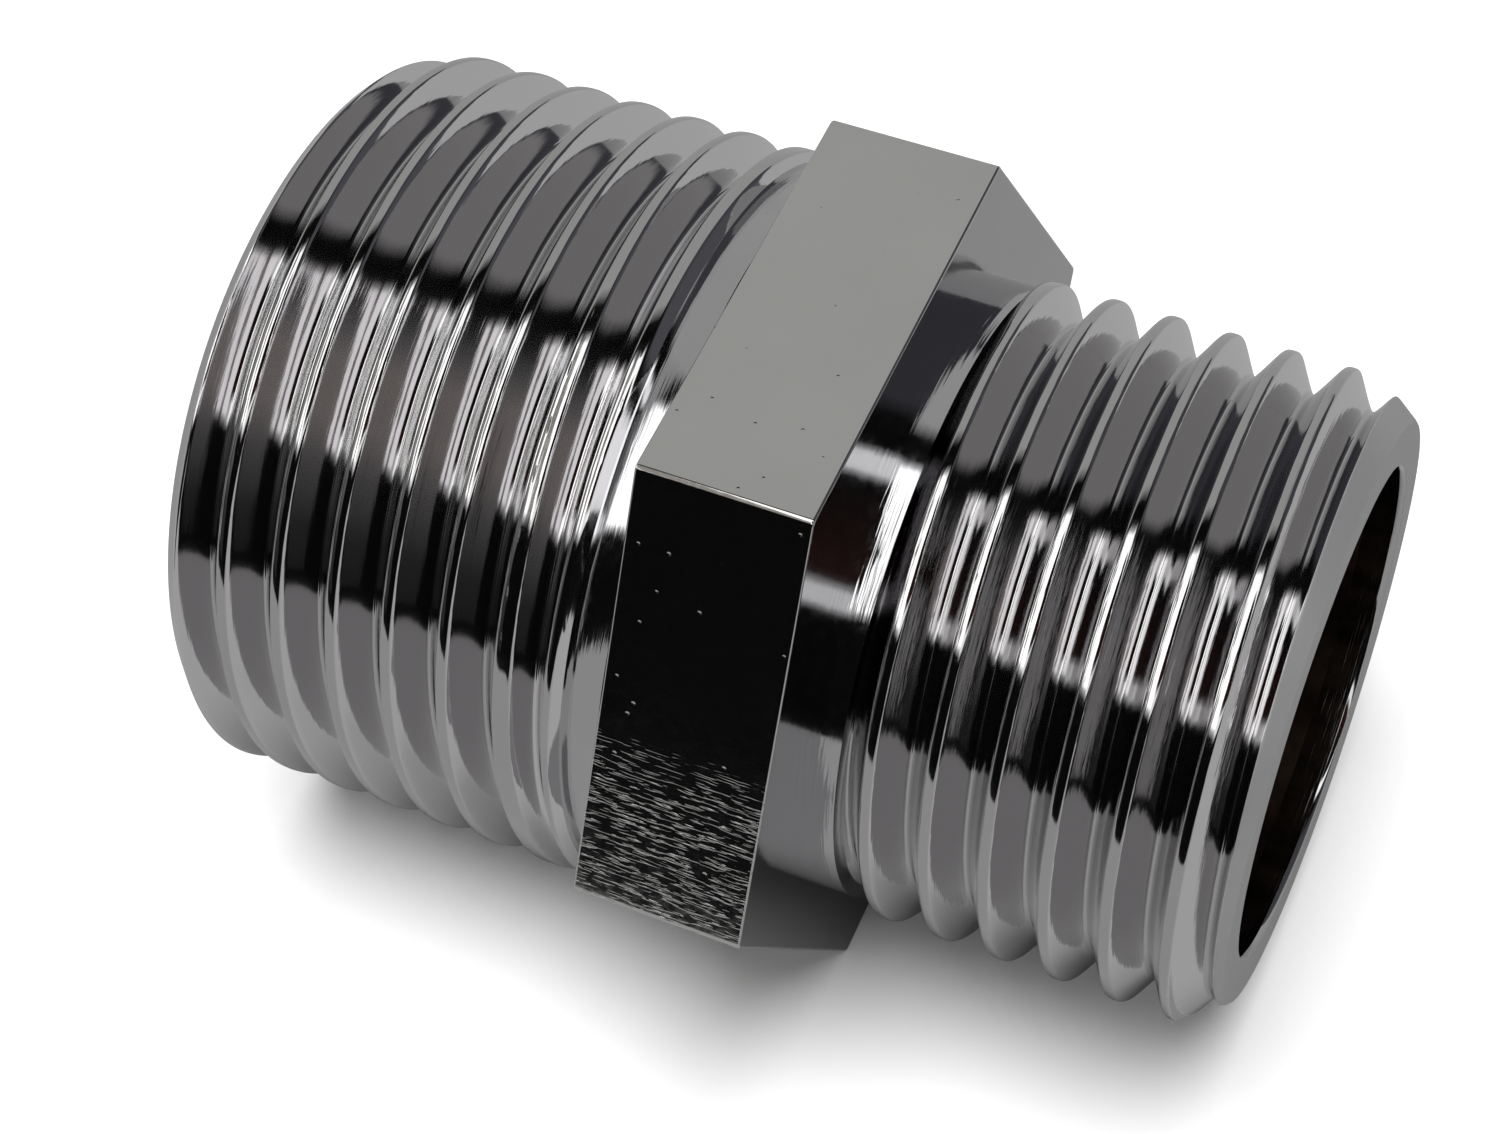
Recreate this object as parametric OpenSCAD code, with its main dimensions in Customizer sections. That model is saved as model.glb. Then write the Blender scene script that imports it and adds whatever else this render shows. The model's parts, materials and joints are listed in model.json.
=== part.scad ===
// Reducing hex nipple: a hexagonal collar between a large and a small male thread,
// with one straight bore from end to end.
// The axis runs along +X, from the large thread to the small one, and +Z is up, so
// the nipple lies on one flat of its hexagon. The origin is halfway along the bore.
// Every length is in millimetres.

/* [Hexagon] */
// Distance across two opposite flats
hex_across_flats = 26; // [24:0.5:32]
// Width of the hexagon along the axis
hex_width = 5.8; // [4:0.1:10]

/* [Large thread] */
// Diameter over the crests
large_diameter = 26; // [24:0.5:30]
// Pitch
large_pitch = 2; // [1.5:0.1:2.5]
// Depth from crest to root
large_depth = 1.2; // [0.8:0.05:1.3]
// Length from the hexagon to the end face, with the neck
large_length = 16; // [12:0.5:24]
// Length of the end chamfer
large_chamfer = 0.8; // [0.4:0.1:2]

/* [Small thread] */
// Diameter over the crests
small_diameter = 22; // [21:0.5:25]
// Pitch
small_pitch = 2; // [1.5:0.1:2.5]
// Depth from crest to root
small_depth = 1.2; // [0.8:0.05:1.3]
// Length from the hexagon to the end face, with the neck
small_length = 14.2; // [10:0.1:22]
// Length of the end chamfer
small_chamfer = 1.5; // [0.5:0.1:2]
// How far the end chamfer comes in
small_chamfer_drop = 1.1; // [0.5:0.05:1.4]

/* [Necks] */
// Length of the tapered neck behind the large thread
large_neck_length = 1.4; // [1:0.1:2]
// How far the large neck tapers in where it meets the thread
large_neck_drop = 0.5; // [0.2:0.05:0.7]
// Length of the plain neck behind the small thread
small_neck_length = 1.4; // [1:0.1:2]
// How far the small neck sits below the thread crests
small_neck_drop = 0.35; // [0.1:0.05:0.5]

/* [Bore] */
// Diameter of the bore through the whole nipple
bore_diameter = 16.6; // [12:0.1:17]

/* [Display] */
// Which piece to show

/* [Hidden] */

overall_length = large_length + hex_width + small_length;
x_large_end = -overall_length / 2;
x_hex_left = x_large_end + large_length;
x_hex_right = x_hex_left + hex_width;
x_small_end = overall_length / 2;
x_large_thread = x_hex_left - large_neck_length;
x_small_thread = x_hex_right + small_neck_length;

large_r = large_diameter / 2;
small_r = small_diameter / 2;
bore_r = bore_diameter / 2;

// Thread groove: a 60 degree vee with a flat root, swept along a right-hand helix. What it
// leaves standing between two turns is a crest an eighth of the pitch wide.
flank_angle = 30;
root_width = 0.35;
over_cut = 0.3;
shoulder_chamfer = 0.3;
steps_per_turn = 36;
large_runout_turns = 0.9;
small_runout_turns = 0.3;
smooth = 128;

// Helix phase: the angle of the groove centre, from +Y towards +Z, at the plane x = 0.
large_phase = 247;
small_phase = 290;

chrome = [0.62, 0.62, 0.64];
chrome_dark = [0.52, 0.52, 0.54];

// Turns a shape built along +Z onto the +X axis, starting at x.
module along_x(x) {
    translate([x, 0, 0])
        rotate([0, 90, 0])
            children();
}

module bore(x, length) {
    along_x(x - 1)
        cylinder(r = bore_r, h = length + 2, $fn = smooth);
}

// Groove depth at station i, fading out to nothing at the hexagon end of the thread.
function fade(i, n, turns, from_start) =
    let (left = (from_start ? i : n - i) / steps_per_turn)
    min(1, left / turns);

// Helix angle at the axial position x.
function helix_angle(x, pitch, phase) = phase + 360 * x / pitch;

// Axial half width of the groove at a height above its root.
function half_width(height) = root_width / 2 + height * tan(flank_angle);

// Four corners of the groove section at one station: root pair, then outer pair.
function groove_section(x, r, depth, share, angle) =
    let (
        root_r = r + over_cut - (depth + over_cut) * share,
        top_r = r + over_cut + 0.02,
        wide = half_width(top_r - root_r),
        c = cos(angle),
        s = sin(angle)
    )
    [
        [x - root_width / 2, root_r * c, root_r * s],
        [x + root_width / 2, root_r * c, root_r * s],
        [x + wide, top_r * c, top_r * s],
        [x - wide, top_r * c, top_r * s]
    ];

// A helical groove between two axial positions of its centre line.
module groove(x_from, x_to, r, depth, pitch, phase, runout, fade_at_start) {
    n = ceil((x_to - x_from) / pitch * steps_per_turn);
    dx = (x_to - x_from) / n;
    sections = [
        for (i = [0:n])
            let (
                x = x_from + dx * i,
                share = fade(i, n, runout, fade_at_start)
            )
            groove_section(x, r, depth, share, helix_angle(x, pitch, phase))
    ];
    points = [for (q = sections) each q];
    sides = [
        for (i = [0:n - 1])
            for (k = [0:3])
                let (
                    a = 4 * i + k,
                    b = 4 * i + (k + 1) % 4,
                    c = b + 4,
                    d = a + 4
                )
                each [[a, c, b], [a, d, c]]
    ];
    ends = [
        [0, 1, 2],
        [0, 2, 3],
        [4 * n + 2, 4 * n + 1, 4 * n],
        [4 * n + 3, 4 * n + 2, 4 * n]
    ];
    polyhedron(points = points, faces = concat(sides, ends), convexity = 20);
}

// Plain turned blank of a thread from x: its crest cylinder, with an end chamfer on the free
// side and a small shoulder chamfer on the hexagon side.
module thread_blank(x, length, r, chamfer, chamfer_drop, shoulder, free_end_right) {
    tip_r = r - chamfer_drop;
    low_r = r - shoulder;
    section = free_end_right
        ? [
            [bore_r, 0],
            [low_r, 0],
            [r, shoulder],
            [r, length - chamfer],
            [tip_r, length],
            [bore_r, length]
        ]
        : [
            [bore_r, 0],
            [tip_r, 0],
            [r, chamfer],
            [r, length - shoulder],
            [low_r, length],
            [bore_r, length]
        ];
    along_x(x)
        rotate_extrude($fn = smooth)
            polygon(section);
}

module hex_collar() {
    color(chrome)
        difference() {
            along_x(x_hex_left)
                rotate([0, 0, 30])
                    cylinder(r = hex_across_flats / 2 / cos(30), h = hex_width, $fn = 6);
            bore(x_hex_left, hex_width);
        }
}

module large_neck() {
    color(chrome_dark)
        difference() {
            along_x(x_large_thread)
                cylinder(
                    r1 = large_r - large_neck_drop,
                    r2 = large_r,
                    h = large_neck_length,
                    $fn = smooth
                );
            bore(x_large_thread, large_neck_length);
        }
}

module large_male_thread() {
    color(chrome)
        difference() {
            thread_blank(
                x_large_end,
                large_length - large_neck_length,
                large_r,
                large_chamfer,
                large_chamfer,
                shoulder_chamfer,
                false
            );
            groove(
                x_large_end - large_pitch,
                x_large_thread + 0.2,
                large_r,
                large_depth,
                large_pitch,
                large_phase,
                large_runout_turns,
                false
            );
        }
}

// Plain cylindrical shank next to the hexagon.
module small_neck() {
    color(chrome_dark)
        difference() {
            along_x(x_hex_right)
                cylinder(r = small_r - small_neck_drop, h = small_neck_length, $fn = smooth);
            bore(x_hex_right, small_neck_length);
        }
}

module small_male_thread() {
    color(chrome)
        difference() {
            thread_blank(
                x_small_thread,
                small_length - small_neck_length,
                small_r,
                small_chamfer,
                small_chamfer_drop,
                shoulder_chamfer / 2,
                true
            );
            groove(
                x_small_thread - 1.0,
                x_small_end + small_pitch,
                small_r,
                small_depth,
                small_pitch,
                small_phase,
                small_runout_turns,
                true
            );
        }
}

hex_collar();
large_neck();
large_male_thread();
small_neck();
small_male_thread();
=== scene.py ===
"""Chrome-plated reducing hex nipple lying on one flat of its hexagon, on a pale studio floor."""

import json
import math
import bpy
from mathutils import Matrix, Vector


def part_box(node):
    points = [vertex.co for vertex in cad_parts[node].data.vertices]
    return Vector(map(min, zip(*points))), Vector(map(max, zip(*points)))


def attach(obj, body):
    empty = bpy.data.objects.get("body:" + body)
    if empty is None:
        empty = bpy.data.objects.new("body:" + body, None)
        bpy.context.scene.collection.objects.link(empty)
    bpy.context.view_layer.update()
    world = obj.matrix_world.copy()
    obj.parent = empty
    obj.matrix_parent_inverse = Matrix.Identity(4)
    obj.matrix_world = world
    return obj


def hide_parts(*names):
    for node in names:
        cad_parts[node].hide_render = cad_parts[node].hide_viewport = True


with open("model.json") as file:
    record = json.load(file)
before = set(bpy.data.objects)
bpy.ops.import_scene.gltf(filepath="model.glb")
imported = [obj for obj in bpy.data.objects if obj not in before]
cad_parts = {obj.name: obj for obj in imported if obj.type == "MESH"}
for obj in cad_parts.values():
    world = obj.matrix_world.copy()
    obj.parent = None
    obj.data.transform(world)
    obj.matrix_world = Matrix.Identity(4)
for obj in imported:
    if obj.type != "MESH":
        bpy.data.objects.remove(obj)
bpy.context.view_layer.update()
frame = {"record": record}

from types import SimpleNamespace

import bpy
import numpy as np
from mathutils import Matrix, Vector

MM = 0.001

# ---------------------------------------------------------------- sizes, all from the frame
HEX_LO, HEX_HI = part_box("hex_collar")
LARGE_LO, LARGE_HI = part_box("large_male_thread")
SMALL_LO, SMALL_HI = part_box("small_male_thread")
MOUNTS = {m["name"]: m for m in frame["record"]["mounts"]}

X_HEX_LEFT, X_HEX_RIGHT = HEX_LO[0], HEX_HI[0]
X_LARGE_END, X_LARGE_NECK = LARGE_LO[0], LARGE_HI[0]
X_SMALL_NECK, X_SMALL_END = SMALL_LO[0], SMALL_HI[0]
APOTHEM = HEX_HI[2]
LARGE_R = MOUNTS["large_male_thread"]["dims"]["r_mm"] * MM
SMALL_R = MOUNTS["small_male_thread"]["dims"]["r_mm"] * MM
BORE_R = MOUNTS["through_bore"]["dims"]["r_mm"] * MM
FLOOR_Z = HEX_LO[2]

# Thread form, as in the CAD source. A phase is the groove's angle in degrees at x = 0.
PITCH = 2.0 * MM
LARGE_DEPTH = 1.2 * MM
SMALL_DEPTH = 1.2 * MM
LARGE_PHASE = 247.0
SMALL_PHASE = 290.0
FLANK_SLOPE = 1 / math.tan(math.radians(30))
OVER_CUT = 0.3 * MM
ROOT_ROUND = 0.16 * MM
CREST_ROUND = 0.07 * MM

# Where the groove's centre line starts by the hexagon, and how far it takes to reach full depth.
LARGE_START = X_LARGE_NECK + 0.2 * MM
LARGE_RUNOUT = 1.8 * MM
SMALL_START = X_SMALL_NECK - 1.0 * MM
SMALL_RUNOUT = 0.6 * MM

# Ends, shoulders and edges.
LARGE_CHAMFER = 0.8 * MM
SMALL_CHAMFER = 1.5 * MM
SMALL_CHAMFER_DROP = 1.1 * MM
SHOULDER = 0.3 * MM
BLANK_ROUND = 0.05 * MM
END_EDGE = 0.10 * MM
END_ROUND = 0.06 * MM
MOUTH_ROUND = 0.22 * MM
MOUTH_DEPTH = 1.2 * MM
HEX_EDGE_ROUND = 0.09 * MM
HEX_CORNER_ROUND = 0.26 * MM

# Necks: how far each lies below the crests, and how far the large one rises to its hexagon end.
LARGE_NECK_DROP = 0.5 * MM
LARGE_NECK_RISE = 0.48 * MM
LARGE_NECK_CURVE = 1.2
SMALL_NECK_DROP = 0.35 * MM

# Mesh density.
COLUMNS = 260
ROW_STEP = 0.044 * MM
NECK_ROWS = 40
WALL_ROWS = 8
FACE_ROWS = 6
FILLET_STEPS = 6
EDGE_STEPS = 6
CORNER_POINTS = 9
FLAT_PARTS = 5
SLOPE_STEP = 0.004 * MM


# ---------------------------------------------------------------- mesh helpers
def soft_min(a, b, k):
    """The smaller of two surfaces, with the corner between them rounded over about k."""
    return 0.5 * (a + b - np.sqrt((a - b) ** 2 + k * k))


def angles():
    """The columns' angles round the axis, from +Y towards +Z."""
    return np.arange(COLUMNS) * 2 * np.pi / COLUMNS


def add_mesh(name, blocks, materials):
    """One mesh object from closed rings of points. A block is (points, normals, material index)."""
    verts, norms, faces, slots = [], [], [], []
    base = 0
    for points, normals, material in blocks:
        rows, cols = points.shape[:2]
        verts.append(points.reshape(-1, 3))
        norms.append(normals.reshape(-1, 3))
        r = np.arange(rows - 1)[:, None]
        c = np.arange(cols)[None, :]
        n = (c + 1) % cols
        quad = np.stack(
            [r * cols + c, r * cols + n, (r + 1) * cols + n, (r + 1) * cols + c], -1
        ).reshape(-1, 4)
        # turn the faces so that they look along their own normals
        p = points.reshape(-1, 3)
        face_n = np.cross(p[quad[:, 1]] - p[quad[:, 0]], p[quad[:, 3]] - p[quad[:, 0]])
        want = normals.reshape(-1, 3)[quad].sum(1)
        flip = (face_n * want).sum(1) < 0
        quad[flip] = quad[flip][:, ::-1]
        faces.append(quad + base)
        slots.append(np.full(len(quad), material))
        base += rows * cols
    verts = np.concatenate(verts)
    norms = np.concatenate(norms)
    faces = np.concatenate(faces)
    mesh = bpy.data.meshes.new(name)
    mesh.vertices.add(len(verts))
    mesh.vertices.foreach_set("co", verts.astype(np.float32).ravel())
    mesh.loops.add(faces.size)
    mesh.loops.foreach_set("vertex_index", faces.astype(np.int32).ravel())
    mesh.polygons.add(len(faces))
    mesh.polygons.foreach_set("loop_start", np.arange(0, faces.size, 4, dtype=np.int32))
    mesh.polygons.foreach_set("material_index", np.concatenate(slots).astype(np.int32))
    mesh.polygons.foreach_set("use_smooth", np.ones(len(faces), dtype=bool))
    mesh.update(calc_edges=True)
    mesh.validate(clean_customdata=False)
    norms = norms / np.maximum(np.linalg.norm(norms, axis=1, keepdims=True), 1e-12)
    mesh.normals_split_custom_set_from_vertices([tuple(map(float, n)) for n in norms])
    for material in materials:
        mesh.materials.append(material)
    obj = bpy.data.objects.new(name, mesh)
    bpy.context.scene.collection.objects.link(obj)
    return obj


def turned(xs, rs):
    """Points and normals of a surface of revolution through the profile (xs, rs)."""
    xs, rs = np.asarray(xs, float), np.asarray(rs, float)
    dx, dr = np.gradient(xs), np.gradient(rs)
    length = np.maximum(np.hypot(dx, dr), 1e-12)
    return spun(xs, rs), spun(-dr / length, dx / length)


def spun(along, out):
    """Rows of (along, out) carried round the axis as XYZ."""
    t = angles()
    x = np.repeat(along[:, None], COLUMNS, 1)
    return np.stack([x, out[:, None] * np.cos(t), out[:, None] * np.sin(t)], -1)


def bore_wall(xs):
    """Points and inward normals of the bore's wall, in rows at the places xs."""
    points = spun(np.asarray(xs, float), np.full(len(xs), BORE_R))
    normals = -points / BORE_R
    normals[..., 0] = 0
    return points, normals


def flat_ring(x, r_in, r_out, side):
    """A plain annulus square to the axis, facing side (+1 or -1) along X."""
    points = spun(np.full(2, x), np.array([r_in, r_out]))
    normals = np.zeros_like(points)
    normals[..., 0] = side
    return points, normals


def fillet_path(corners, radii):
    """A profile through the corners, each turned with its own radius."""
    corners = [np.array(c, float) for c in corners]
    path = [corners[0]]
    for before, here, after, radius in zip(corners, corners[1:], corners[2:], radii):
        a = (before - here) / np.linalg.norm(before - here)
        b = (after - here) / np.linalg.norm(after - here)
        half = math.acos(max(-1, min(1, float(a @ b)))) / 2
        reach = radius / math.tan(half)
        bisector = (a + b) / np.linalg.norm(a + b)
        centre = here + bisector * radius / math.sin(half)
        start = here + a * reach - centre
        end = here + b * reach - centre
        turn = math.atan2(start[0] * end[1] - start[1] * end[0], float(start @ end))
        for i in range(FILLET_STEPS + 1):
            c, s = math.cos(turn * i / FILLET_STEPS), math.sin(turn * i / FILLET_STEPS)
            path.append(centre + np.array([start[0] * c - start[1] * s, start[0] * s + start[1] * c]))
    path.append(corners[-1])
    return np.array(path)


# ---------------------------------------------------------------- node helpers
# An output is passed about as (node, socket).
def new_material(name):
    material = bpy.data.materials.new(name)
    material.use_nodes = True
    tree = material.node_tree
    tree.nodes.clear()
    return material, tree


def node(tree, kind, inputs=None, **settings):
    made = tree.nodes.new(kind)
    for key, value in settings.items():
        setattr(made, key, value)
    for key, value in (inputs or {}).items():
        made.inputs[key].default_value = value
    return made


def link(tree, output, target, socket):
    source, name = output
    tree.links.new(source.outputs[name], target.inputs[socket])


def math_node(tree, operation, *values):
    made = node(tree, "ShaderNodeMath", operation=operation)
    for i, value in enumerate(values):
        if isinstance(value, tuple):
            link(tree, value, made, i)
        else:
            made.inputs[i].default_value = value
    return (made, 0)


def ramp(tree, source, stops):
    """A colour ramp. A stop is (place, grey) or (place, (red, green, blue))."""
    made = node(tree, "ShaderNodeValToRGB")
    elements = made.color_ramp.elements
    while len(elements) > 1:
        elements.remove(elements[-1])
    for i, (at, value) in enumerate(stops):
        element = elements[0] if i == 0 else elements.new(at)
        element.position = at
        colour = value if isinstance(value, tuple) else (value, value, value)
        element.color = (*colour, 1)
    link(tree, source, made, "Fac")
    return (made, "Color")


def map_range(tree, source, lo, hi, to_lo=0.0, to_hi=1.0):
    limits = {"From Min": lo, "From Max": hi, "To Min": to_lo, "To Max": to_hi}
    made = node(tree, "ShaderNodeMapRange", limits)
    made.interpolation_type = "SMOOTHSTEP"
    link(tree, source, made, "Value")
    return (made, "Result")


def mix_colour(tree, share, a, b):
    """Colour a turning over to b by share. b may be a plain (red, green, blue)."""
    made = node(tree, "ShaderNodeMix", data_type="RGBA")
    link(tree, share, made, "Factor")
    link(tree, a, made, "A")
    if isinstance(b[0], float):
        made.inputs["B"].default_value = (*b, 1)
    else:
        link(tree, b, made, "B")
    return (made, "Result")


def mix_value(tree, share, a, b):
    """The output or number a turning over to the number b by share."""
    made = node(tree, "ShaderNodeMix", data_type="FLOAT")
    link(tree, share, made, "Factor")
    if isinstance(a, tuple):
        link(tree, a, made, "A")
    else:
        made.inputs["A"].default_value = a
    made.inputs["B"].default_value = b
    return (made, "Result")


def object_vector(tree, which="Object"):
    return (node(tree, "ShaderNodeTexCoord"), which)


def split_xyz(tree, vector):
    made = node(tree, "ShaderNodeSeparateXYZ")
    link(tree, vector, made, "Vector")
    return [(made, axis) for axis in "XYZ"]


def noise(tree, vector, detail):
    settings = {"Scale": 1.0, "Detail": detail, "Roughness": 0.55}
    made = node(tree, "ShaderNodeTexNoise", settings)
    link(tree, vector, made, "Vector")
    return (made, "Fac")


def scaled_vector(tree, per_mm, shift=(0, 0, 0)):
    """Object space stretched to so many features per millimetre along each axis."""
    made = node(tree, "ShaderNodeMapping")
    made.inputs["Scale"].default_value = tuple(n / MM for n in per_mm)
    made.inputs["Location"].default_value = shift
    link(tree, object_vector(tree), made, "Vector")
    return (made, "Vector")


def stretched_noise(tree, per_mm, detail, shift=(0, 0, 0)):
    return noise(tree, scaled_vector(tree, per_mm, shift), detail)


def radius_from_axis(tree):
    """Distance of the shaded point from the bore axis, in metres."""
    _, y, z = split_xyz(tree, object_vector(tree))
    y2 = math_node(tree, "MULTIPLY", y, y)
    z2 = math_node(tree, "MULTIPLY", z, z)
    return math_node(tree, "SQRT", math_node(tree, "ADD", y2, z2))


def between(tree, value, lo, hi, soft):
    """1 where the value lies between lo and hi, fading over soft at each side."""
    rise = map_range(tree, value, lo - soft, lo + soft)
    fall = map_range(tree, value, hi - soft, hi + soft, 1.0, 0.0)
    return math_node(tree, "MULTIPLY", rise, fall)


def chain_bumps(tree, layers):
    """Bump nodes in a row: each layer is (height output, strength, distance in metres)."""
    last = None
    for height, strength, distance in layers:
        bump = node(tree, "ShaderNodeBump", {"Strength": strength, "Distance": distance})
        link(tree, height, bump, "Height")
        if last is not None:
            link(tree, last, bump, "Normal")
        last = (bump, "Normal")
    return last


# ---------------------------------------------------------------- chrome
REFRACTION = 2.5
# How far the tint goes darker and lighter in the mottling, and the roughness in the grain.
TINT_RANGE = (0.94, 1.06)
ROUGHNESS_RANGE = (0.75, 1.35)

# The lighter band of the flanks stays this far above the roots and below the crests.
BAND_ABOVE_ROOT = 0.07 * MM
BAND_BELOW_CREST = 0.05 * MM
BAND_FADE = 0.03 * MM
# X of the surface normal between which a flank counts more and more as facing the large end, and
# takes more of the painted shade.
FACING_LARGE_END = (-0.6, -0.8)

# A finish is (tint, roughness, metallic).
FLANK_FINISH = ((0.80, 0.79, 0.80), 0.06, 1.0)
# painted shade: a darker tint for the flanks that face the large end
PAINTED_SHADE_FLANK_FINISH = ((0.37, 0.36, 0.367), 0.08, 1.0)
SATIN_FINISH = ((0.25, 0.25, 0.253), 0.40, 0.30)


def plated(tree, tint, roughness):
    """The plating's own look: broad mottling of its tone, and fine grain in its roughness."""
    mottle = stretched_noise(tree, (0.25, 0.25, 0.25), 4.0)
    grain = stretched_noise(tree, (3.0, 3.0, 3.0), 2.0, shift=(4.0, 2.0, 7.0))
    darkest, lightest = [tuple(c * share for c in tint) for share in TINT_RANGE]
    colour = ramp(tree, mottle, [(0.0, darkest), (1.0, lightest)])
    low, high = [roughness * share for share in ROUGHNESS_RANGE]
    return colour, map_range(tree, grain, 0.35, 0.7, low, high), 1.0


def blend_in(tree, share, look, finish):
    """Turns a look (colour, roughness, metallic) over to a finish by share."""
    colour, rough, metal = look
    tint, roughness, metallic = finish
    return (
        mix_colour(tree, share, colour, tint),
        mix_value(tree, share, rough, roughness),
        mix_value(tree, share, metal, metallic),
    )


def flank_tints_with_painted_shade(tree, radius, look, root_r, crest_r):
    """Flanks lighter in tint than roots and crests, and darker, as painted shade, where they face the
    large end.
    """
    band = (root_r + BAND_ABOVE_ROOT, crest_r - BAND_BELOW_CREST)
    share = between(tree, radius, *band, BAND_FADE)
    look = blend_in(tree, share, look, FLANK_FINISH)
    # painted shade: flanks turn darker the more they face the large end
    normal_x, _, _ = split_xyz(tree, object_vector(tree, "Normal"))
    least, most = FACING_LARGE_END
    facing = map_range(tree, normal_x, most, least, 1.0, 0.0)
    share = math_node(tree, "MULTIPLY", share, facing)
    return blend_in(tree, share, look, PAINTED_SHADE_FLANK_FINISH)


def satin_end(tree, radius, look):
    """The small end's chamfer and end face, which the cutter left satin."""
    x, _, _ = split_xyz(tree, object_vector(tree))
    slope = SMALL_CHAMFER_DROP / SMALL_CHAMFER
    start_x = X_SMALL_END - SMALL_CHAMFER
    cone = math_node(tree, "ADD", radius, math_node(tree, "MULTIPLY", x, slope))
    level = SMALL_R + slope * start_x
    on_cone = map_range(tree, cone, level - 0.07 * MM, level - 0.03 * MM)
    on_face = map_range(tree, x, X_SMALL_END - 0.06 * MM, X_SMALL_END - 0.03 * MM)
    past_start = map_range(tree, x, start_x, start_x + 0.1 * MM)
    on_end = math_node(tree, "MAXIMUM", on_cone, on_face)
    return blend_in(tree, math_node(tree, "MULTIPLY", on_end, past_start), look, SATIN_FINISH)


def turning_rings(tree, radius, strength):
    """Fine rings round the axis, on cylinders, cones and faces alike."""
    x, y, z = split_xyz(tree, object_vector(tree))
    drift = math_node(tree, "ADD", y, z)
    place = node(tree, "ShaderNodeCombineXYZ")
    for i, (source, per_mm) in enumerate(((x, 9.0), (radius, 9.0), (drift, 0.3))):
        link(tree, math_node(tree, "MULTIPLY", source, per_mm / MM), place, i)
    return (noise(tree, (place, "Vector"), 2.0), strength, 0.012 * MM)


def drawn_scratches(tree, strength):
    """Short scratches along the axis, on the lower sides that slide over the bench."""
    scratch = stretched_noise(tree, (1.3, 13.0, 13.0), 1.0, shift=(9.0, 1.0, 2.0))
    dashes = ramp(tree, scratch, [(0.55, 0.0), (0.68, 1.0)])
    _, _, z = split_xyz(tree, object_vector(tree))
    low = map_range(tree, z, 3.6 * MM, 5.6 * MM, 1.0, 0.03)
    return (math_node(tree, "MULTIPLY", dashes, low), strength, 0.008 * MM)


def tiny_pits(tree, strength):
    spots = node(tree, "ShaderNodeTexVoronoi", {"Scale": 1.0, "Randomness": 1.0})
    link(tree, scaled_vector(tree, (1.1, 1.3, 1.3)), spots, "Vector")
    return (map_range(tree, (spots, "Distance"), 0.02, 0.10), strength, 0.02 * MM)


def ripple(tree):
    """The faint unevenness that bends a mirror's lines."""
    waves = stretched_noise(tree, (0.8, 0.8, 0.8), 2.0, shift=(3.0, 8.0, 1.0))
    return (waves, 0.2, 0.010 * MM)


def chrome(name, tint, roughness, thread=None, end=False, scratches=0.0, rings=0.0, pits=0.0):
    """Plated metal. thread is its (root radius, crest radius); end adds the satin small end."""
    material, tree = new_material(name)
    radius = radius_from_axis(tree)
    look = plated(tree, tint, roughness)
    if thread is not None:
        # lighter flank tints, and painted shade on the flanks that face the large end
        look = flank_tints_with_painted_shade(tree, radius, look, *thread)
    if end:
        look = satin_end(tree, radius, look)
    layers = []
    if rings:
        layers.append(turning_rings(tree, radius, rings))
    if scratches:
        layers.append(drawn_scratches(tree, scratches))
    if pits:
        layers.append(tiny_pits(tree, pits))
    layers.append(ripple(tree))
    finish_metal(tree, look, layers, ior=REFRACTION)
    return material


def finish_metal(tree, look, layers, ior=1.5):
    """The metal shader at the end of a tree, from its look and its bump layers."""
    colour, rough, metal = look
    out = node(tree, "ShaderNodeOutputMaterial")
    shader = node(tree, "ShaderNodeBsdfPrincipled", {"IOR": ior})
    link(tree, (shader, "BSDF"), out, "Surface")
    link(tree, colour, shader, "Base Color")
    link(tree, rough, shader, "Roughness")
    if isinstance(metal, tuple):
        link(tree, metal, shader, "Metallic")
    else:
        shader.inputs["Metallic"].default_value = metal
    link(tree, chain_bumps(tree, layers), shader, "Normal")


def bare_bore_painted_shade(name):
    """The unplated wall of the bore: brown, dull, with the drill's rings in it, and darkened to
    near-black as painted shade of the deep bore.
    """
    material, tree = new_material(name)
    stain = stretched_noise(tree, (0.3, 0.5, 0.5), 5.0)
    # painted shade: the browns are kept near-black so the deep bore reads as shaded
    colour = ramp(tree, stain, [(0.3, (0.035, 0.022, 0.018)), (0.7, (0.11, 0.075, 0.055))])
    rough = map_range(tree, stain, 0.3, 0.7, 0.28, 0.5)
    drill_rings = stretched_noise(tree, (6.0, 0.2, 0.2), 2.0)
    finish_metal(tree, (colour, rough, 1.0), [(drill_rings, 0.5, 0.02 * MM)])
    return material


HEX_CHROME = chrome("chrome_hexagon_flats", (0.66, 0.66, 0.645), 0.06, scratches=0.9, pits=0.5)
HEX_FACE_CHROME = chrome("chrome_hexagon_faces", (0.44, 0.44, 0.45), 0.08, rings=0.15)
NECK_CHROME = chrome("chrome_neck_turned", (0.57, 0.57, 0.58), 0.07, rings=0.4)
THREAD_TINT = (0.58, 0.58, 0.58)
LARGE_CHROME = chrome(
    "chrome_large_thread",
    THREAD_TINT,
    0.06,
    thread=(LARGE_R - LARGE_DEPTH, LARGE_R),
    rings=0.15,
)
SMALL_CHROME = chrome(
    "chrome_small_thread",
    THREAD_TINT,
    0.06,
    thread=(SMALL_R - SMALL_DEPTH, SMALL_R),
    end=True,
    rings=0.4,
)
BORE_METAL = bare_bore_painted_shade("bare_bore_wall_painted_shade")


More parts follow.
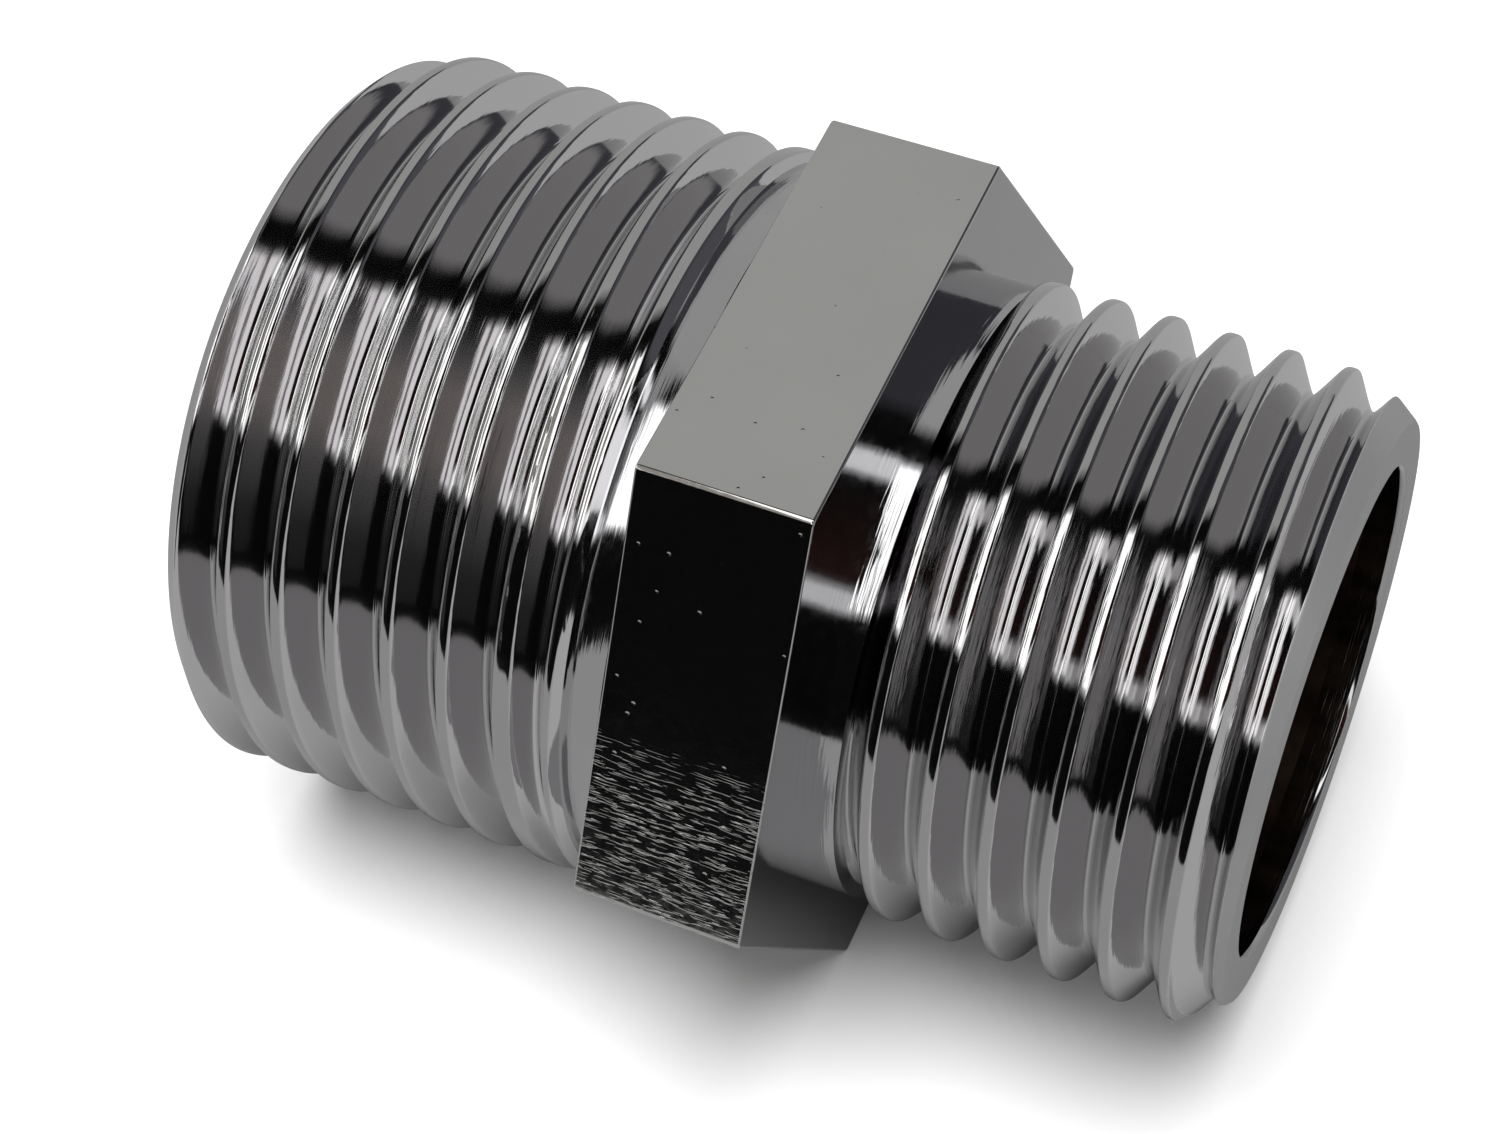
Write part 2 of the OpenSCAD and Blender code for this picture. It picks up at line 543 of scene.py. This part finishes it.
# ---------------------------------------------------------------- the two threads
LARGE_THREAD = SimpleNamespace(
    way=-1,
    x_hex=X_LARGE_NECK,
    x_end=X_LARGE_END,
    r=LARGE_R,
    depth=LARGE_DEPTH,
    phase=LARGE_PHASE,
    chamfer=LARGE_CHAMFER,
    drop=LARGE_CHAMFER,
    shoulder=SHOULDER,
    start=LARGE_START,
    runout=LARGE_RUNOUT,
)
SMALL_THREAD = SimpleNamespace(
    way=1,
    x_hex=X_SMALL_NECK,
    x_end=X_SMALL_END,
    r=SMALL_R,
    depth=SMALL_DEPTH,
    phase=SMALL_PHASE,
    chamfer=SMALL_CHAMFER,
    drop=SMALL_CHAMFER_DROP,
    shoulder=SHOULDER / 2,
    start=SMALL_START,
    runout=SMALL_RUNOUT,
)


def blank_radius(thread, x):
    """Radius of the turned blank: its crest cylinder, end chamfer and shoulder by the neck."""
    from_end = (thread.x_end - x) * thread.way
    from_hex = (x - thread.x_hex) * thread.way
    bevel = thread.r - thread.drop + from_end * thread.drop / thread.chamfer
    shoulder = thread.r - thread.shoulder + from_hex
    chamfered = soft_min(np.full_like(x, thread.r), bevel, BLANK_ROUND)
    return soft_min(chamfered, shoulder, BLANK_ROUND)


def thread_radius(thread, x, t):
    """Radius of the threaded surface at axial place x and angle t from +Y."""
    off = x - PITCH * (np.degrees(t) - thread.phase) / 360.0
    off = (off + PITCH / 2) % PITCH - PITCH / 2
    # how far the groove's centre line has come decides how deep it is
    share = np.clip((x - off - thread.start) * thread.way / thread.runout, 0.0, 1.0)
    lift = (1 - share) * (thread.depth + OVER_CUT)
    vee = np.sqrt(off**2 + ROOT_ROUND**2) - ROOT_ROUND
    groove = thread.r - thread.depth + lift + vee * FLANK_SLOPE
    return soft_min(blank_radius(thread, x), groove, CREST_ROUND)


def thread_surface(thread):
    """Points, normals and radii of the thread, in rows from its shoulder to its end edge."""
    rows = int(round(abs(thread.x_end - thread.x_hex) / ROW_STEP))
    xs = np.linspace(thread.x_hex, thread.x_end - thread.way * END_EDGE, rows)
    x, t = np.meshgrid(xs, angles(), indexing="ij")
    r = thread_radius(thread, x, t)
    dx = SLOPE_STEP
    dt = SLOPE_STEP / thread.r
    slope_x = (thread_radius(thread, x + dx, t) - thread_radius(thread, x - dx, t)) / (2 * dx)
    slope_t = (thread_radius(thread, x, t + dt) - thread_radius(thread, x, t - dt)) / (2 * dt) / r
    c, s = np.cos(t), np.sin(t)
    points = np.stack([x, r * c, r * s], -1)
    normals = np.stack([-slope_x, c + slope_t * s, s - slope_t * c], -1)
    return points, normals, r


def end_face(thread, edge_r):
    """The end's small outer radius, its face, and the rounded mouth of the bore."""
    edge_x = thread.x_end - thread.way * END_EDGE
    corners = [
        (edge_x, edge_r),
        (thread.x_end, edge_r - END_EDGE * thread.drop / thread.chamfer),
        (thread.x_end, BORE_R),
        (thread.x_end - thread.way * MOUTH_DEPTH, BORE_R),
    ]
    path = fillet_path(corners, [END_ROUND, MOUTH_ROUND])
    points, normals = turned(path[:, 0], path[:, 1])
    return points, normals * thread.way


def thread_piece(name, thread, material):
    """One threaded end, with its end face, its bore wall and its face against the neck."""
    points, normals, r = thread_surface(thread)
    end_points, end_normals = end_face(thread, r[-1].mean())
    end_points[0] = points[-1]
    end_normals[0] = normals[-1] / np.linalg.norm(normals[-1], axis=-1, keepdims=True)
    mouth_x = thread.x_end - thread.way * MOUTH_DEPTH
    wall = bore_wall(np.linspace(mouth_x, thread.x_hex, WALL_ROWS))
    shoulder_points, shoulder_normals = flat_ring(thread.x_hex, BORE_R, thread.r, -thread.way)
    # the face against the neck follows the thread's own outline
    shoulder_points[1] = points[0]
    blocks = [
        (points, normals, 0),
        (end_points, end_normals, 0),
        (*wall, 1),
        (shoulder_points, shoulder_normals, 0),
    ]
    return add_mesh(name, blocks, [material, BORE_METAL])


large_thread = thread_piece("large_thread_turned", LARGE_THREAD, LARGE_CHROME)
small_thread = thread_piece("small_thread_turned", SMALL_THREAD, SMALL_CHROME)


# ---------------------------------------------------------------- the two necks
def neck_piece(name, x_from, x_to, profile):
    """A turned neck. profile is its radius at each share of the way from x_from to x_to."""
    share = np.linspace(0, 1, NECK_ROWS)
    xs = x_from + (x_to - x_from) * share
    rs = profile(share)
    blocks = [
        (*turned(xs, rs), 0),
        (*bore_wall(xs[[0, -1]]), 1),
        (*flat_ring(x_from, BORE_R, rs[0], -1), 0),
        (*flat_ring(x_to, BORE_R, rs[-1], 1), 0),
    ]
    return add_mesh(name, blocks, [NECK_CHROME, BORE_METAL])


def large_neck_radius(share):
    return LARGE_R - LARGE_NECK_DROP + LARGE_NECK_RISE * share**LARGE_NECK_CURVE


def small_neck_radius(share):
    return np.full_like(share, SMALL_R - SMALL_NECK_DROP)


large_neck = neck_piece("large_neck_turned", X_LARGE_NECK, X_HEX_LEFT, large_neck_radius)
small_neck = neck_piece("small_neck_turned", X_HEX_RIGHT, X_SMALL_NECK, small_neck_radius)


# ---------------------------------------------------------------- the hexagon
def hex_section(apothem, corner):
    """Points and normals round a hexagon with rounded corners, flats above and below."""
    points, normals = [], []
    reach = (apothem - corner) / math.cos(math.radians(30))

    def direction(degrees):
        return np.array([math.cos(math.radians(degrees)), math.sin(math.radians(degrees))])

    for middle in range(0, 360, 60):
        centre = reach * direction(middle)
        for i in range(CORNER_POINTS):
            n = direction(middle - 30 + 60 * i / (CORNER_POINTS - 1))
            points.append(centre + corner * n)
            normals.append(n)
        # the flat between this corner and the next
        n = direction(middle + 30)
        start = centre + corner * n
        end = reach * direction(middle + 60) + corner * n
        for i in range(1, FLAT_PARTS):
            points.append(start + (end - start) * i / FLAT_PARTS)
            normals.append(n)
    return np.array(points), np.array(normals)


def hex_sides():
    """The six flats from the left face to the right one, with both edges rounded."""
    rings, ring_normals = [], []
    for side, x_face in ((-1, X_HEX_LEFT), (1, X_HEX_RIGHT)):
        for i in range(EDGE_STEPS + 1)[::-side]:
            a = math.radians(90 * i / EDGE_STEPS)
            inset = HEX_EDGE_ROUND * (1 - math.sin(a))
            section, normals = hex_section(APOTHEM - inset, HEX_CORNER_ROUND - inset / 2)
            x = np.full(len(section), x_face - side * HEX_EDGE_ROUND * (1 - math.cos(a)))
            rings.append(np.column_stack([x, section]))
            along = np.full(len(section), side * math.cos(a))
            ring_normals.append(np.column_stack([along, normals * math.sin(a)]))
    return np.array(rings), np.array(ring_normals)


def hex_face(ring, side):
    """The flat face inside a ring of the hexagon, in to the bore."""
    angle = np.arctan2(ring[:, 2], ring[:, 1])
    inner = np.column_stack([ring[:, 0], BORE_R * np.cos(angle), BORE_R * np.sin(angle)])
    points = np.array([ring + (inner - ring) * w for w in np.linspace(0, 1, FACE_ROWS)])
    normals = np.zeros_like(points)
    normals[..., 0] = side
    return points, normals


def hex_piece(name):
    sides, side_normals = hex_sides()
    blocks = [
        (sides, side_normals, 0),
        (*hex_face(sides[0], -1), 2),
        (*hex_face(sides[-1], 1), 2),
        (*bore_wall([X_HEX_LEFT, X_HEX_RIGHT]), 1),
    ]
    return add_mesh(name, blocks, [HEX_CHROME, BORE_METAL, HEX_FACE_CHROME])


hex_collar = hex_piece("hex_collar_plated")

for piece, cad_node, slot in (
    (hex_collar, "hex_collar", "chrome_hexagon"),
    (large_neck, "large_neck", "chrome_neck"),
    (large_thread, "large_male_thread", "chrome_thread"),
    (small_neck, "small_neck", "chrome_neck"),
    (small_thread, "small_male_thread", "chrome_thread"),
):
    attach(piece, "root")
    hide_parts(cad_node)


# ---------------------------------------------------------------- floor
FLOOR_HALF = 0.7
PAPER_WHITE = (0.93, 0.93, 0.93, 1)
TABLE_GREY = 0.27
TABLE_EDGE = (-0.18, -0.14)
BLACK = 0.004


def seen_in_metal(tree, plain, reflected):
    """One shader for the camera and for lighting, and another for the metal's reflections."""
    path = node(tree, "ShaderNodeLightPath")
    made = node(tree, "ShaderNodeMixShader")
    link(tree, (path, "Is Glossy Ray"), made, "Fac")
    link(tree, plain, made, 1)
    link(tree, reflected, made, 2)
    return (made, "Shader")


def pale_floor():
    """White paper. In reflections it counts as a grey table that ends in the dark in front."""
    material, tree = new_material("pale_paper")
    white = node(tree, "ShaderNodeBsdfDiffuse", {"Color": PAPER_WHITE})
    _, y, _ = split_xyz(tree, object_vector(tree))
    shade = ramp(tree, map_range(tree, y, *TABLE_EDGE), [(0.0, BLACK), (1.0, TABLE_GREY)])
    grey = node(tree, "ShaderNodeBsdfDiffuse")
    link(tree, shade, grey, "Color")
    out = node(tree, "ShaderNodeOutputMaterial")
    link(tree, seen_in_metal(tree, (white, "BSDF"), (grey, "BSDF")), out, "Surface")
    return material


floor_mesh = bpy.data.meshes.new("floor")
floor_corners = [
    (x * FLOOR_HALF, y * FLOOR_HALF, FLOOR_Z) for x, y in ((-1, -1), (1, -1), (1, 1), (-1, 1))
]
floor_mesh.from_pydata(floor_corners, [], [(0, 1, 2, 3)])
floor_mesh.materials.append(pale_floor())
floor = bpy.data.objects.new("floor", floor_mesh)
bpy.context.scene.collection.objects.link(floor)


# ---------------------------------------------------------------- studio round the object
WHITE = 1.0
SIDE_WHITE = 0.8
TOP_WHITE = 0.9
STRIP_GREY = 0.36
BACK_GREY = (0.425, 0.425, 0.42)
BROWN = (0.34, 0.315, 0.295)
DEEP_RED = (0.03, 0.012, 0.01)
SLATE = (0.07, 0.07, 0.08)
SOFT_LIGHT = 0.30
WHITE_FROM = 0.6
WHITE_BOOST = 2.6

# The room that the metal reflects, as strips from left to right. A strip is what it shows at each
# angle in degrees, from the front horizon (0) over the top (90) to the back horizon (180).
WHITE_OVERHEAD = [
    (0, BLACK),
    (38, BLACK),
    (42, WHITE),
    (94, WHITE),
    (98, BLACK),
    (107, BLACK),
    (113, BACK_GREY),
]
GREY_STRIP = [(0, STRIP_GREY), (108, STRIP_GREY), (114, BACK_GREY)]
DARK_STRIP = [(0, 0.02), (88, 0.006), (108, BLACK), (114, BACK_GREY)]
BROWN_FADING = [
    (0, 0.03),
    (14, 0.045),
    (34, 0.15),
    (50, BROWN),
    (70, BROWN),
    (82, 0.16),
    (92, 0.03),
    (98, 0.008),
    (106, 0.008),
    (113, BACK_GREY),
]
BROWN_OVERHEAD = [
    (0, BLACK),
    (38, BLACK),
    (44, BROWN),
    (92, BROWN),
    (98, BLACK),
    (107, BLACK),
    (113, BACK_GREY),
]
DARK_WITH_TWO_TUBES = [
    (0, BLACK),
    (37, BLACK),
    (40, SIDE_WHITE),
    (46, SIDE_WHITE),
    (50, DEEP_RED),
    (86, 0.006),
    (89, TOP_WHITE),
    (96, TOP_WHITE),
    (99, BLACK),
    (112, 0.006),
    (120, SLATE),
]
# Each strip with where along the reflected ray's X it takes over from the strip before it.
STRIPS = [
    (None, WHITE_OVERHEAD),  # the large neck's cone sees this one
    ((-0.80, -0.775), GREY_STRIP),  # the small thread's flanks, near their crests
    ((-0.67, -0.65), DARK_STRIP),  # the small thread's flanks, near their roots
    ((-0.60, -0.58), BROWN_FADING),  # the large thread's flanks
    ((-0.445, -0.43), WHITE_OVERHEAD),  # the large thread's crests
    ((-0.36, -0.345), BROWN_OVERHEAD),  # between those and the next
    ((-0.285, -0.27), WHITE_OVERHEAD),  # the small thread's crests and the small neck
    ((0.02, 0.10), DARK_WITH_TWO_TUBES),  # whatever faces the large end
]
# The strips lean: at the front horizon an edge stands right of its place by the first number,
# and it moves left by the second one on its way to the back horizon.
LEAN_AT_FRONT = 0.079
STRIP_LEAN = 0.2


def angle_over_axis(tree, y, z):
    """0 at the front horizon, 0.5 overhead, 1 at the back horizon, and no further either way."""
    front = math_node(tree, "MULTIPLY", y, -1.0)
    turn = math_node(tree, "DIVIDE", math_node(tree, "ARCTAN2", z, front), math.pi)
    wrapped = math_node(tree, "WRAP", turn, 1.5, -0.5)
    return math_node(tree, "MINIMUM", math_node(tree, "MAXIMUM", wrapped, 0.0), 1.0)


def room_colour(tree):
    x, y, z = split_xyz(tree, object_vector(tree, "Generated"))
    place = angle_over_axis(tree, y, z)
    lean = math_node(tree, "MULTIPLY", place, STRIP_LEAN)
    across = math_node(tree, "SUBTRACT", math_node(tree, "ADD", x, lean), LEAN_AT_FRONT)
    colour = None
    for edge, stops in STRIPS:
        strip = ramp(tree, place, [(degrees / 180, value) for degrees, value in stops])
        if edge is None:
            colour = strip
        else:
            colour = mix_colour(tree, map_range(tree, across, *edge), colour, strip)
    return colour


def studio_world():
    """Soft white light for the floor, and the room of strips for the metal to reflect."""
    world = bpy.data.worlds.new("studio")
    bpy.context.scene.world = world
    world.use_nodes = True
    tree = world.node_tree
    tree.nodes.clear()
    colour = room_colour(tree)
    # full white shines far brighter than paper
    red = node(tree, "ShaderNodeSeparateColor")
    link(tree, colour, red, "Color")
    over = math_node(tree, "MAXIMUM", math_node(tree, "SUBTRACT", (red, 0), WHITE_FROM), 0.0)
    strength = math_node(tree, "ADD", math_node(tree, "MULTIPLY", over, WHITE_BOOST), 1.0)
    room = node(tree, "ShaderNodeBackground")
    link(tree, colour, room, "Color")
    link(tree, strength, room, "Strength")
    soft = node(tree, "ShaderNodeBackground", {"Color": (1, 1, 1, 1), "Strength": SOFT_LIGHT})
    out = node(tree, "ShaderNodeOutputWorld")
    link(tree, seen_in_metal(tree, (soft, "Background"), (room, "Background")), out, "Surface")


studio_world()

LIGHT_FROM = Vector((0.0, -0.021, 0.20))
LIGHT_SPREAD = 0.68
LIGHT_STRENGTH = 3.8

# An even light from almost overhead, wide enough to leave soft shadows.
overhead_data = bpy.data.lights.new("overhead_softlight", "SUN")
overhead_data.angle = LIGHT_SPREAD
overhead_data.energy = LIGHT_STRENGTH
overhead = bpy.data.objects.new("overhead_softlight", overhead_data)
overhead.location = LIGHT_FROM
overhead.rotation_mode = "QUATERNION"
overhead.rotation_quaternion = (-LIGHT_FROM).to_track_quat("-Z", "Y")
overhead.visible_glossy = False
bpy.context.scene.collection.objects.link(overhead)

# ---------------------------------------------------------------- camera
LOOK_AT = Vector((-1.80, -1.45, 0.0)) * MM
DISTANCE = 106.31 * MM
AZIMUTH = math.radians(28.82)
ELEVATION = math.radians(54.34)
ROLL = math.radians(6.11)
SENSOR_WIDTH = 36.0
FOCAL_LENGTH = 75.0264

back = Vector(
    (
        math.sin(AZIMUTH) * math.cos(ELEVATION),
        -math.cos(AZIMUTH) * math.cos(ELEVATION),
        math.sin(ELEVATION),
    )
)
right = (-back).cross(Vector((0, 0, 1))).normalized()
up = back.cross(right)
tilted_right = right * math.cos(ROLL) - up * math.sin(ROLL)
tilted_up = up * math.cos(ROLL) + right * math.sin(ROLL)
camera_data = bpy.data.cameras.new("camera")
camera_data.sensor_width = SENSOR_WIDTH
camera_data.lens = FOCAL_LENGTH
camera_data.clip_start = 0.005
camera_data.clip_end = 5.0
camera = bpy.data.objects.new("camera", camera_data)
camera.location = LOOK_AT + back * DISTANCE
camera.rotation_mode = "QUATERNION"
camera.rotation_quaternion = Matrix((tilted_right, tilted_up, back)).transposed().to_quaternion()
bpy.context.scene.collection.objects.link(camera)
bpy.context.scene.camera = camera

bpy.context.scene.view_settings.view_transform = "Standard"
bpy.context.scene.view_settings.look = "None"
